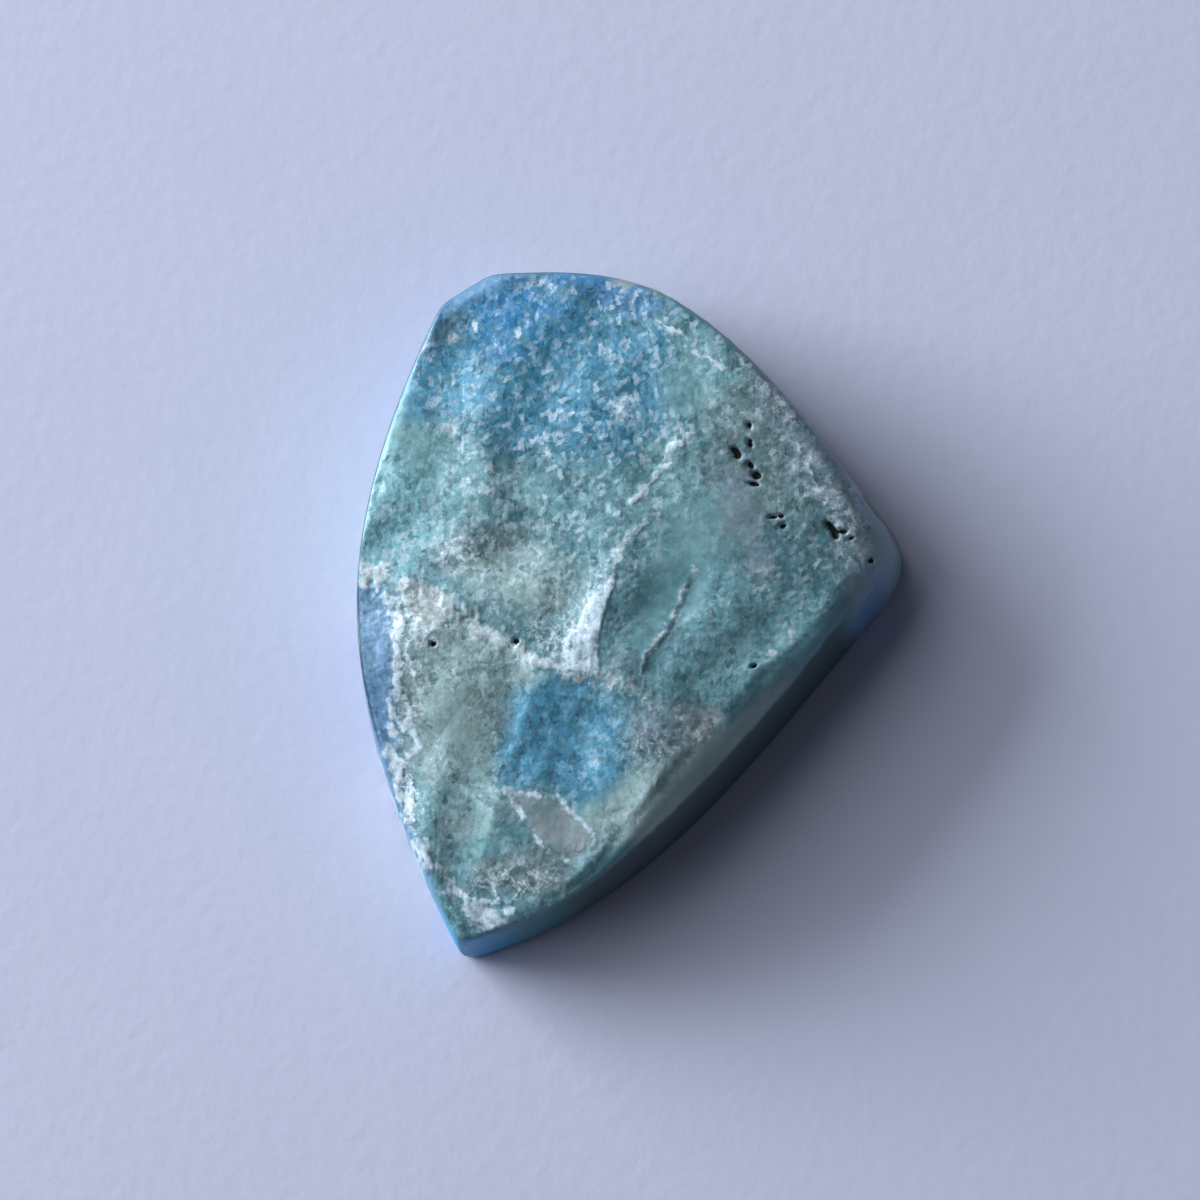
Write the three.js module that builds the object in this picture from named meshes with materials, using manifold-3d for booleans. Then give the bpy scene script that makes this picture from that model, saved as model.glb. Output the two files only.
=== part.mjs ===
// Raw azurite: a shield-shaped slice of blue and green azurite rock, in millimetres, +Z up.
// The base is sawn flat and the top is natural and rough. The side walls are ground smooth, nearly
// upright on the right and leaning in a little on the left. It formed as one piece of rock, so it
// is one solid.

import * as THREE from 'three';
import { ImprovedNoise } from 'three/addons/math/ImprovedNoise.js';
import { mergeVertices } from 'three/addons/utils/BufferGeometryUtils.js';
import Module from 'manifold-3d';

const { degToRad, lerp, seededRandom, smoothstep } = THREE.MathUtils;
const at = (x, y) => new THREE.Vector2(x, y);

// Driving dimensions
const CROWN_HEIGHT = 6.5;             // the broad top plane above the base
const WALL_LEAN = degToRad(8);        // the ground walls lean in by this much
const EDGE_BREAK = 0.2;               // small bevel where the walls meet the base
const SHARP_SHOULDER = 0.3;           // edge radius where the wall meets the top
const FACET_BLEND = 0.5;              // height over which two top planes run into each other

// Outline of the base, seen from above, with the narrow tip at the bottom
const TIP = at(-6.7, -13.92);
const CORNER_LOW = at(-7.38, 12.23);
const CORNER_HIGH = at(-5.05, 13.62);
const CORNER_RIGHT = at(11.6, 1.6);
const HUB = at(-1.4, 1.0);            // the middle of the top, from which the outline is swept

// How finely the stone is divided
const GRID = 50;                      // steps across the top, each way
const OUTLINE_STEPS = 400;            // steps round the outline, of equal length
const WALL_ROWS = 2;
const SHOULDER_ROWS = 3;
const ROWS = 1 + WALL_ROWS + SHOULDER_ROWS;
const SAW_ALLOWANCE = 0.6;            // rock below the base plane, which the saw cut removes

// The top is a few broad planes: each passes through a point and dips towards a direction
const TOP_PLANES = [
  { through: at(-2, 3), height: CROWN_HEIGHT, dip: 0.03, towards: degToRad(150) },
  { through: at(2.4, -1), height: CROWN_HEIGHT, dip: 0.2, towards: degToRad(-22) },
  { through: at(-2, -6), height: CROWN_HEIGHT - 0.3, dip: 0.34, towards: degToRad(-112) },
  { through: at(-2, 11), height: CROWN_HEIGHT - 0.2, dip: 0.24, towards: degToRad(98) },
  { through: at(9.2, 1.2), height: CROWN_HEIGHT - 1.3, dip: 0.6, towards: degToRad(-8) },
];

// A small ground facet cuts the top left corner off
const CORNER_FACET = { edgeHeight: 5.3, rise: 1.3 };

// The shoulder is worn round along the lower right wall and at the right corner
const WORN_SHOULDERS = [
  { at: at(4.6, -6.2), reach: 7.5, radius: 1.3 },
  { at: at(10.0, 0.8), reach: 4.5, radius: 1.7 },
];

// The long lower right wall and the upper right one are ground nearly upright
const UPRIGHT_WALLS = [
  { at: at(3.4, -7.0), reach: 13 },
  { at: at(6.6, 7.4), reach: 12 },
];
const UPRIGHT_LEAN = degToRad(2);

// Raised veins and sunken strips on the top: half is half the width, lift is up or down
const STROKES = [
  {
    // the main vein, which crosses the stone from the left edge to the lower right shoulder
    path: [at(-9.6, 0.9), at(-7.2, -0.3), at(-4.6, -1.8), at(-2.2, -3.0), at(0.8, -3.6), at(3.6, -5.7)],
    half: 0.35,
    lift: 0.16,
  },
  {
    // the white wedge where the short vein runs down into the main one
    path: [at(0.5, 1.2), at(-0.5, -1.0), at(-1.1, -2.8)],
    half: 0.4,
    lift: 0.18,
  },
  {
    // the short white vein along the upper left side of the smooth panel
    path: [at(3.3, 6.0), at(1.7, 4.4), at(0.5, 1.2)],
    half: 0.3,
    lift: 0.14,
  },
  {
    // the blue strip on the left edge lies lower than the top beside it
    path: [at(-10.1, 0.2), at(-9.9, -3.0), at(-9.5, -5.6), at(-8.7, -8.2)],
    half: 1.0,
    lift: -0.5,
  },
  {
    // the thin step that parts the smooth panel from the darker rock to its right
    path: [at(3.5, 0.9), at(2.3, -1.7), at(1.3, -3.3)],
    half: 0.3,
    lift: -0.14,
  },
  {
    // the flaky vein near the right edge
    path: [at(7.5, 5.4), at(8.2, 4.1), at(8.9, 2.9)],
    half: 0.3,
    lift: 0.15,
  },
];

// Broad hollows and plates on the top
const PATCHES = [
  { at: at(-2.6, -5.6), radii: at(2.4, 2.0), turn: 0.3, lift: -0.32 },    // the deep blue hollow
  { at: at(-2.1, -9.2), radii: at(2.0, 1.1), turn: -0.6, lift: 0.22 },    // the grey plate
  { at: at(-5.4, -9.6), radii: at(1.8, 1.2), turn: -0.5, lift: -0.2 },    // the dip beside it
  { at: at(-6.9, -0.9), radii: at(1.3, 0.9), turn: -0.4, lift: 0.15 },    // the cream crust
  { at: at(2.6, 1.6), radii: at(1.7, 3.6), turn: -0.45, lift: -0.16 },    // the smooth panel
  { at: at(0.7, 7.1), radii: at(1.2, 0.9), turn: 0.2, lift: 0.14 },       // the pale grains
];

// Small dark pits, with their radius
const PITS = [
  [at(5.0, 5.2), 0.4],
  [at(5.7, 4.3), 0.45],
  [at(6.6, 2.6), 0.4],
  [at(8.6, 2.0), 0.4],
  [at(5.7, -3.1), 0.35],
];
const PIT_DEPTH = 0.4;

// The rough surface: lumps, and over them crystal faces that each tilt their own way
const LUMP_SIZE = 2.4;
const LUMP_HEIGHT = 0.16;
const CRYSTAL_SIZE = 1.25;
const CRYSTAL_TILT = 0.5;             // the steepest slope of a face is half of this
const CRYSTAL_LIFT = 0.07;
const CRYSTAL_FALL = 0.32;            // how fast a crystal falls away from its middle
const SMOOTH_PANEL = { at: at(3.4, 1.2), radii: at(2.6, 4.2), turn: -0.4 };
const PANEL_ROUGHNESS = 0.3;          // share of the roughness that the smooth panel keeps

// The outline as one closed path: three bowed sides, one short straight one, rounded corners
function baseOutline() {
  const path = new THREE.Path();
  path.moveTo(-6.86, -13.45);
  path.bezierCurveTo(-11.96, -3.66, -12.3, 2.07, -7.5, 12.0);
  path.quadraticCurveTo(CORNER_LOW.x, CORNER_LOW.y, -7.1, 12.4);
  path.lineTo(-5.4, 13.41);
  path.quadraticCurveTo(CORNER_HIGH.x, CORNER_HIGH.y, -4.6, 13.62);
  path.bezierCurveTo(2.69, 13.95, 6.74, 8.51, 10.55, 3.1);
  path.quadraticCurveTo(CORNER_RIGHT.x, CORNER_RIGHT.y, 10.25, -0.1);
  path.bezierCurveTo(5.7, -5.15, 1.2, -12.0, -6.2, -13.82);
  path.quadraticCurveTo(TIP.x, TIP.y, -6.86, -13.45);
  return path;
}

const outlinePoints = baseOutline().getSpacedPoints(OUTLINE_STEPS);
const outlineCentre = new THREE.Box2().setFromPoints(outlinePoints).getCenter(at(0, 0));
outlinePoints.forEach((point) => point.sub(outlineCentre));

// How far round each outline point counts as lying, half by length and half by the angle seen from
// the hub. This keeps the squares of the top about as wide as they are long.
function sweepShares() {
  const shares = [0];
  for (let i = 1; i <= OUTLINE_STEPS; i += 1) {
    const before = outlinePoints[i - 1].clone().sub(HUB);
    const angle = before.angleTo(outlinePoints[i].clone().sub(HUB));
    shares.push(shares[i - 1] + 0.5 / OUTLINE_STEPS + (0.5 * angle) / (2 * Math.PI));
  }
  return shares;
}

const sweep = sweepShares();

function edgePointAt(share) {
  const next = Math.max(1, sweep.findIndex((value) => value >= Math.min(share, sweep.at(-1))));
  const part = (share - sweep[next - 1]) / (sweep[next] - sweep[next - 1]);
  return outlinePoints[next - 1].clone().lerp(outlinePoints[next], part);
}

function distanceToSegment(point, start, end) {
  const along = at(end.x - start.x, end.y - start.y);
  const offset = at(point.x - start.x, point.y - start.y);
  const share = THREE.MathUtils.clamp(offset.dot(along) / along.lengthSq(), 0, 1);
  return offset.addScaledVector(along, -share).length();
}

function distanceToPath(point, path) {
  let nearest = Infinity;
  for (let i = 1; i < path.length; i += 1) {
    nearest = Math.min(nearest, distanceToSegment(point, path[i - 1], path[i]));
  }
  return nearest;
}

const insetOf = (point) => distanceToPath(point, outlinePoints);

const fromHub = (edgePoint, share) => HUB.clone().lerp(edgePoint, share);

// The point on the line from the hub to an outline point that lies this far inside the outline
function pointAtInset(edgePoint, inset) {
  let inner = 0;
  let outer = 1;
  for (let i = 0; i < 18; i += 1) {
    const middle = (inner + outer) / 2;
    if (insetOf(fromHub(edgePoint, middle)) > inset) inner = middle;
    else outer = middle;
  }
  return fromHub(edgePoint, (inner + outer) / 2);
}

function smoothMin(a, b, blend) {
  const share = THREE.MathUtils.clamp(0.5 + (b - a) / (2 * blend), 0, 1);
  return lerp(b, a, share) - blend * share * (1 - share);
}

// 1 at the middle of a turned ellipse, falling softly to 0 at its rim
function inPatch(point, patch) {
  const local = point.clone().sub(patch.at).rotateAround(at(0, 0), -patch.turn);
  const radius = Math.hypot(local.x / patch.radii.x, local.y / patch.radii.y);
  return 1 - smoothstep(radius, 0.65, 1.15);
}

// The broad shape of the top, with no roughness
function crown(point) {
  let height = Infinity;
  for (const plane of TOP_PLANES) {
    const dx = (point.x - plane.through.x) * Math.cos(plane.towards);
    const dy = (point.y - plane.through.y) * Math.sin(plane.towards);
    const level = plane.height - plane.dip * (dx + dy);
    height = height === Infinity ? level : smoothMin(height, level, FACET_BLEND);
  }
  return Math.min(height, cornerFacet(point));
}

// The ground facet rises inwards from the short straight side of the outline
function cornerFacet(point) {
  const along = CORNER_HIGH.clone().sub(CORNER_LOW).normalize();
  const inwards = at(along.y, -along.x);
  const reach = point.clone().add(outlineCentre).sub(CORNER_LOW).dot(inwards);
  const wallInset = CORNER_FACET.edgeHeight * Math.tan(WALL_LEAN);
  return CORNER_FACET.edgeHeight + CORNER_FACET.rise * (reach - wallInset);
}

function makeCrystals() {
  const crystals = [];
  seededRandom(7);
  for (let x = -12; x <= 12; x += CRYSTAL_SIZE) {
    for (let y = -15; y <= 15; y += CRYSTAL_SIZE) {
      crystals.push({
        at: at(x + CRYSTAL_SIZE * seededRandom(), y + CRYSTAL_SIZE * seededRandom()),
        tilt: at(seededRandom() - 0.5, seededRandom() - 0.5).multiplyScalar(CRYSTAL_TILT),
        lift: (seededRandom() - 0.5) * 2 * CRYSTAL_LIFT,
      });
    }
  }
  return crystals;
}

const crystals = makeCrystals();
const noise = new ImprovedNoise();

// Neighbouring crystals meet in creases, where one tilted face passes under the next
function crystalFaces(point) {
  let height = -Infinity;
  for (const crystal of crystals) {
    const away = point.clone().sub(crystal.at);
    const face = crystal.lift + away.dot(crystal.tilt) - CRYSTAL_FALL * away.lengthSq();
    height = Math.max(height, face);
  }
  return height;
}

// Everything that stands up from or sinks into the broad shape of the top
function relief(point) {
  const lumps = noise.noise(point.x / LUMP_SIZE, point.y / LUMP_SIZE, 0.37) * 2 * LUMP_HEIGHT;
  const panel = inPatch(point, SMOOTH_PANEL);
  let height = (lumps + crystalFaces(point)) * lerp(1, PANEL_ROUGHNESS, panel);
  for (const stroke of STROKES) {
    const away = distanceToPath(point, stroke.path) / stroke.half;
    height += stroke.lift * (1 - smoothstep(away, 0.6, 1.4));
  }
  for (const patch of PATCHES) height += patch.lift * inPatch(point, patch);
  for (const [centre, radius] of PITS) {
    height -= PIT_DEPTH * (1 - smoothstep(point.distanceTo(centre), radius * 0.3, radius * 1.2));
  }
  return height;
}

function shoulderRadius(point) {
  let radius = SHARP_SHOULDER;
  for (const worn of WORN_SHOULDERS) {
    const share = 1 - smoothstep(point.distanceTo(worn.at), worn.reach * 0.35, worn.reach);
    radius = Math.max(radius, lerp(SHARP_SHOULDER, worn.radius, share));
  }
  return radius;
}

function wallLean(point) {
  let share = 1;
  for (const wall of UPRIGHT_WALLS) {
    share = Math.min(share, smoothstep(point.distanceTo(wall.at), wall.reach * 0.5, wall.reach));
  }
  return lerp(UPRIGHT_LEAN, WALL_LEAN, share);
}

// The rounding between wall and top near a point: its radius, where its centre lies, and the lean
// of the wall below it
function roundingNear(point) {
  const radius = shoulderRadius(point);
  const lean = wallLean(point);
  const height = crown(point) - radius;
  const wallInset = (height + radius * Math.sin(lean)) * Math.tan(lean);
  return { radius, lean, height, inset: wallInset + radius * Math.cos(lean) };
}

function roundingAt(edgePoint) {
  let rounding = roundingNear(fromHub(edgePoint, 0.9));
  for (let pass = 0; pass < 3; pass += 1) {
    rounding = roundingNear(pointAtInset(edgePoint, rounding.inset));
  }
  return rounding;
}

function topPoint(point, rounding) {
  const natural = smoothstep(insetOf(point), rounding.inset - 0.3, rounding.inset + 0.7);
  return new THREE.Vector3(point.x, point.y, crown(point) + relief(point) * natural);
}

// Rows of the side, from below the base up the wall and over the shoulder
function sidePoint(edgePoint, rounding, row) {
  if (row === 0) {
    const below = pointAtInset(edgePoint, EDGE_BREAK + SAW_ALLOWANCE);
    return new THREE.Vector3(below.x, below.y, -SAW_ALLOWANCE);
  }
  if (row <= WALL_ROWS) {
    const wallTop = rounding.height + rounding.radius * Math.sin(rounding.lean);
    const height = lerp(EDGE_BREAK, wallTop, (row - 1) / WALL_ROWS);
    const wall = pointAtInset(edgePoint, height * Math.tan(rounding.lean));
    return new THREE.Vector3(wall.x, wall.y, height);
  }
  const turn = lerp(rounding.lean, Math.PI / 2, (row - 1 - WALL_ROWS) / SHOULDER_ROWS);
  const point = pointAtInset(edgePoint, rounding.inset - rounding.radius * Math.cos(turn));
  if (row === ROWS) return topPoint(point, rounding);
  return new THREE.Vector3(point.x, point.y, rounding.height + rounding.radius * Math.sin(turn));
}

// Which share of the outline a point of the square faces. The outline runs clockwise.
function shareRound(u, v) {
  const facing = at(u * Math.sqrt(1 - (v * v) / 2), v * Math.sqrt(1 - (u * u) / 2));
  return THREE.MathUtils.euclideanModulo(-facing.angle() / (2 * Math.PI), 1);
}

// A cube of small squares is pushed out into the stone: its side faces become the walls and the
// shoulder, and its top face the natural top
function roughBlock() {
  const geometry = new THREE.BoxGeometry(2, 2, 2, GRID, GRID, ROWS);
  const position = geometry.getAttribute('position');
  for (let i = 0; i < position.count; i += 1) {
    const u = position.getX(i);
    const v = position.getY(i);
    const row = Math.round(((position.getZ(i) + 1) / 2) * ROWS);
    const edgePoint = edgePointAt(shareRound(u, v));
    const rounding = roundingAt(edgePoint);
    const spread = Math.max(Math.abs(u), Math.abs(v));
    let point = sidePoint(edgePoint, rounding, row);
    if (spread < 0.9999) {
      const inside = fromHub(at(point.x, point.y), spread);
      point = row === 0 ? point.set(inside.x, inside.y, point.z) : topPoint(inside, rounding);
    }
    position.setXYZ(i, point.x, point.y, point.z);
  }
  splitAlongBetterDiagonal(geometry);
  return geometry;
}

// Each square is two triangles, a b d and b c d. Where a c would leave no sliver, it is used.
function splitAlongBetterDiagonal(geometry) {
  const position = geometry.getAttribute('position');
  const index = geometry.getIndex();
  const corner = (i) => new THREE.Vector3().fromBufferAttribute(position, i);
  const area = (i, j, k) => new THREE.Triangle(corner(i), corner(j), corner(k)).getArea();
  for (let i = 0; i < index.count; i += 6) {
    const [a, b, d] = [index.getX(i), index.getX(i + 1), index.getX(i + 2)];
    const c = index.getX(i + 4);
    const kept = Math.min(area(a, b, d), area(b, c, d));
    const other = Math.min(area(a, b, c), area(a, c, d));
    if (other > kept) [a, b, c, a, c, d].forEach((vertex, k) => index.setX(i + k, vertex));
  }
}

const wasm = await Module();
wasm.setup();

function toSolid(geometry) {
  const bare = geometry.clone();
  bare.deleteAttribute('normal');
  bare.deleteAttribute('uv');
  const merged = mergeVertices(bare, 1e-4);
  const mesh = new wasm.Mesh({
    numProp: 3,
    vertProperties: new Float32Array(merged.getAttribute('position').array),
    triVerts: new Uint32Array(merged.getIndex().array),
  });
  return new wasm.Manifold(mesh);
}

function toGeometry(solid) {
  const mesh = solid.getMesh();
  const geometry = new THREE.BufferGeometry();
  geometry.setAttribute('position', new THREE.BufferAttribute(mesh.vertProperties, 3));
  geometry.setIndex(new THREE.BufferAttribute(mesh.triVerts, 1));
  geometry.computeVertexNormals();
  return geometry;
}

// The saw cut leaves the flat base at height 0
function sawCut() {
  const waste = new THREE.BoxGeometry(60, 60, 10);
  waste.translate(0, 0, -5);
  return toSolid(waste);
}

const stone = new THREE.Mesh(
  toGeometry(toSolid(roughBlock()).subtract(sawCut())),
  new THREE.MeshStandardMaterial({ color: 0x5f93a0, roughness: 0.45, metalness: 0 }),
);
stone.name = 'azurite_stone';

const rawAzurite = new THREE.Group();
rawAzurite.name = 'raw_azurite';
rawAzurite.add(stone);

export default rawAzurite;
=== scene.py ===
import math

import bmesh
import bpy
import numpy as np
from mathutils import Matrix, Vector
from mathutils.bvhtree import BVHTree


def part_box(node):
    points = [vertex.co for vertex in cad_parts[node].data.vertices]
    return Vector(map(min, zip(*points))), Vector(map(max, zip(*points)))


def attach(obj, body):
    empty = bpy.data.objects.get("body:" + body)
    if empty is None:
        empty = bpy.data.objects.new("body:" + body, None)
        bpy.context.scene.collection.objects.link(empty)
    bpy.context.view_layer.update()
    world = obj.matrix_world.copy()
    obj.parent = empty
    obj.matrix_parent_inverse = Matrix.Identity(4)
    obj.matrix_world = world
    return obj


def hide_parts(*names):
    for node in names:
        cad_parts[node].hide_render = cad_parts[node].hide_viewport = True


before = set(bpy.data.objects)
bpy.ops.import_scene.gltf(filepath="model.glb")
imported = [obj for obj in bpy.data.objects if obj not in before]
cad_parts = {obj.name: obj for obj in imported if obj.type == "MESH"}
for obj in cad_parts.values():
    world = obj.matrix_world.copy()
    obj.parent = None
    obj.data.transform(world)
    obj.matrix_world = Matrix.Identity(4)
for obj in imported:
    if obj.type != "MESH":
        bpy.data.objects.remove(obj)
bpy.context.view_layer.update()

MM = 0.001                      # lengths below are in millimetres unless a name says otherwise
NODE = "azurite_stone"

# Where the camera stands: tilted from straight above towards the lower right wall
PHOTO_SIDE = 1200               # pixels along each side of the photograph
PHOTO_SCALE = 25.4              # pixels for each millimetre at the middle of the stone
TARGET = (0.375, -0.488, 3.5)   # a point in the middle of the stone
TARGET_PIXEL = (629.5, 615.5)   # where that point lies in the photograph
CAMERA_TILT = math.radians(11)
CAMERA_TOWARDS = math.radians(-50)
CAMERA_DISTANCE = 260.0
SENSOR = 36.0

# How finely the surface is divided
GRID = 264                      # steps across the top, each way
WALL_ROWS = 12
BASE_RINGS = 9
EDGE_ROWS = (0.0, 0.07, 0.14, 0.2)    # heights of the rows over the small bevel at the base
DIRECTIONS = 1440               # directions in which the outline is felt from the hub
PROFILE_RAYS = 110
STEEP = 3.5                     # where the side is steeper than this rise, it counts as wall
SMOOTHING = 260                 # passes over the top before its fine relief is added
RIM_STEP = 0.02                 # how far the rim may stand above the top inside it
HIGHEST_CLIMB = 1.15            # steepest ray from the hub towards the rim, in radians
LOWEST_FELT = 0.012             # rays just above the floor feel the foot of the wall
CREASED_FROM, CREASED_BY = 4, 6       # turns of the wall, in degrees, from which its edges stay sharp

# Crystal faces of the relief: width, slope, spread of height, fall from the middle, and seed
LARGE_CRYSTALS = (0.9, 0.025, 0.012, 0.02, 81)
SMALL_CRYSTALS = (0.42, 0.06, 0.006, 0.04, 82)
LOBES = (0.8, 0.1, 0.02, 0.3, 83)

# The point inside the stone from which every part of its surface can be seen
low, high = (np.array(corner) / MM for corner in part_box(NODE))
size = high - low
HUB = np.array([low[0] + 0.436 * size[0], low[1] + 0.536 * size[1], 0.33 * size[2]])

# The minerals of the top, from the host rock up. Each patch: place, radii, turn and strength.
HOST = (0.125, 0.300, 0.355)
HOST_STRENGTH = 0.2
MINERALS = {
    "green": ((0.200, 0.425, 0.480), [
        ((-7.6, 5.4), (1.6, 2.0), 0.2, 1.0),
        ((-4.6, 4.0), (2.2, 1.1), -0.1, 0.4),
        ((3.2, 8.6), (1.8, 1.2), -0.7, 0.2),
        ((2.6, 3.4), (1.6, 2.4), -0.3, 0.7),
        ((-6.2, -9.0), (1.7, 1.3), -0.4, 1.2),
        ((-0.6, -8.6), (2.0, 0.8), 0.75, 0.3),
    ]),
    "bright_green": ((0.230, 0.520, 0.610), [
        ((-8.6, 3.0), (1.0, 2.2), 0.2, 6.0),
        ((-5.9, -7.4), (0.7, 0.6), 0.0, 0.6),
        ((-4.9, -9.6), (0.9, 0.7), -0.4, 0.7),
    ]),
    "sage": ((0.310, 0.460, 0.475), [
        ((-5.2, 1.5), (2.6, 1.0), -0.25, 0.8),
        ((-7.9, 1.4), (1.0, 0.7), 0.0, 0.8),
        ((-2.8, 0.4), (1.8, 1.3), -0.3, 0.4),
        ((-6.6, -4.4), (1.4, 2.4), 0.1, 4.0),
        ((-5.9, -8.8), (1.2, 1.0), 0.0, 2.0),
        ((-4.4, -2.8), (1.4, 0.8), -0.5, 1.0),
        ((-7.0, -1.8), (1.2, 0.8), -0.4, 0.8),
        ((0.0, -8.4), (2.4, 0.6), 0.75, 1.7),
        ((1.9, -7.9), (1.8, 0.4), 0.78, 4.5),
        ((4.4, -6.0), (2.6, 0.35), 0.83, 1.2),
    ]),
    "olive": ((0.225, 0.355, 0.370), [
        ((5.2, 6.8), (1.3, 1.3), -0.2, 0.9),
        ((6.6, 4.2), (0.9, 1.4), 0.3, 0.7),
        ((4.9, 3.0), (1.2, 1.4), 0.0, 0.5),
    ]),
    "deep_teal": ((0.178, 0.400, 0.465), [
        ((4.2, -0.6), (1.2, 1.8), 0.3, 1.3),
        ((6.2, -1.6), (1.6, 1.2), 0.6, 1.2),
        ((3.5, -3.2), (1.5, 0.9), 0.3, 0.9),
        ((1.3, -1.6), (0.6, 1.4), -0.4, 0.6),
        ((-0.2, 8.0), (1.1, 0.6), -0.3, 0.4),
        ((-0.6, 2.2), (1.2, 1.8), -0.3, 0.35),
    ]),
    "grey": ((0.260, 0.370, 0.450), [
        ((8.5, 4.5), (0.9, 2.2), 0.72, 1.4),
        ((6.7, 7.0), (0.8, 1.8), 0.75, 1.2),
        ((1.9, -5.5), (1.3, 0.9), 0.4, 1.2),
        ((5.8, 0.9), (0.5, 1.0), 0.4, 0.8),
        ((5.1, 3.7), (0.9, 1.2), 0.2, 1.6),
        ((10.2, 1.0), (1.0, 1.6), 0.3, 1.2),
        ((0.6, -2.8), (0.6, 0.6), 0.0, 0.5),
    ]),
    "blush": ((0.290, 0.350, 0.390), [
        ((-2.2, -9.0), (1.5, 0.9), -0.7, 0.5),
        ((3.2, -5.5), (1.0, 0.7), 0.6, 1.4),
        ((4.4, 4.9), (0.8, 0.9), -0.4, 0.8),
        ((0.5, 12.4), (0.4, 0.3), 0.0, 0.8),
    ]),
    "umber": ((0.150, 0.210, 0.225), [
        ((-3.6, -10.6), (1.3, 0.6), 0.0, 4.0),
        ((6.4, 7.4), (1.6, 0.5), -0.85, 1.4),
        ((8.9, 3.9), (1.4, 0.5), -0.95, 1.4),
        ((3.6, -7.0), (3.2, 0.6), 0.83, 0.7),
        ((9.2, 1.2), (0.8, 1.0), 0.3, 0.4),
    ]),
    "petrol": ((0.048, 0.240, 0.400), [
        ((-1.0, 8.3), (2.2, 1.2), -0.3, 1.8),
        ((-2.4, 10.2), (2.2, 1.1), -0.35, 1.4),
        ((0.8, 9.7), (1.5, 1.2), -0.5, 0.8),
        ((-3.4, 7.0), (3.0, 1.6), -0.2, 0.6),
        ((0.6, 6.4), (2.0, 1.4), -0.3, 0.3),
        ((-2.5, -5.1), (1.6, 1.3), 0.4, 0.8),
        ((-3.6, -6.4), (1.1, 0.7), 0.3, 0.5),
        ((-1.2, -7.0), (1.5, 0.8), -0.6, 1.0),
        ((0.0, -5.6), (1.0, 1.4), 0.3, 0.6),
    ]),
    "teal_blue": ((0.110, 0.390, 0.610), [
        ((-6.4, 8.2), (1.7, 1.4), 0.2, 1.8),
        ((-2.5, -5.1), (1.6, 1.3), 0.4, 2.0),
        ((-3.6, -6.4), (1.2, 0.8), 0.3, 2.0),
    ]),
    # lilac_blue: on the smooth bevel at the upper left corner it stands partly for a painted reflection
    # of the sky
    "lilac_blue": ((0.095, 0.250, 0.450), [
        ((-5.9, 12.3), (1.7, 0.7), 0.55, 2.4),
        ((-7.2, 9.8), (0.8, 1.6), 0.35, 0.8),
        ((10.7, -0.6), (0.7, 1.6), 0.2, 2.4),
    ]),
    "strip_blue": ((0.170, 0.350, 0.590), [
        ((-9.4, -1.2), (0.8, 1.6), 0.05, 4.0),
        ((-9.3, -3.8), (0.65, 1.8), 0.1, 4.0),
        ((-9.0, -6.6), (0.5, 1.6), 0.25, 2.4),
        ((-8.4, -9.6), (0.4, 1.8), 0.4, 1.6),
    ]),
    "azurite": ((0.008, 0.180, 0.410), [
        ((-4.1, 11.2), (1.5, 1.0), -0.3, 4.0),
        ((-4.5, 9.6), (1.2, 0.6), -0.2, 1.6),
        ((-2.2, 10.9), (1.6, 0.8), -0.3, 0.9),
        ((-2.1, -4.0), (0.4, 0.35), 0.3, 1.0),
        ((-2.0, -5.0), (0.4, 0.35), 0.3, 1.6),
        ((-3.3, -6.0), (0.45, 0.35), 0.3, 1.6),
        ((-4.3, -6.9), (0.35, 0.3), 0.2, 1.2),
    ]),
    "night_blue": ((0.050, 0.200, 0.420), [
        ((0.2, 11.8), (1.6, 0.45), -0.35, 1.8),
        ((-2.4, 12.6), (1.4, 0.35), -0.1, 1.0),
        ((-9.9, -2.6), (0.3, 1.6), 0.08, 0.6),
    ]),
}

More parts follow.
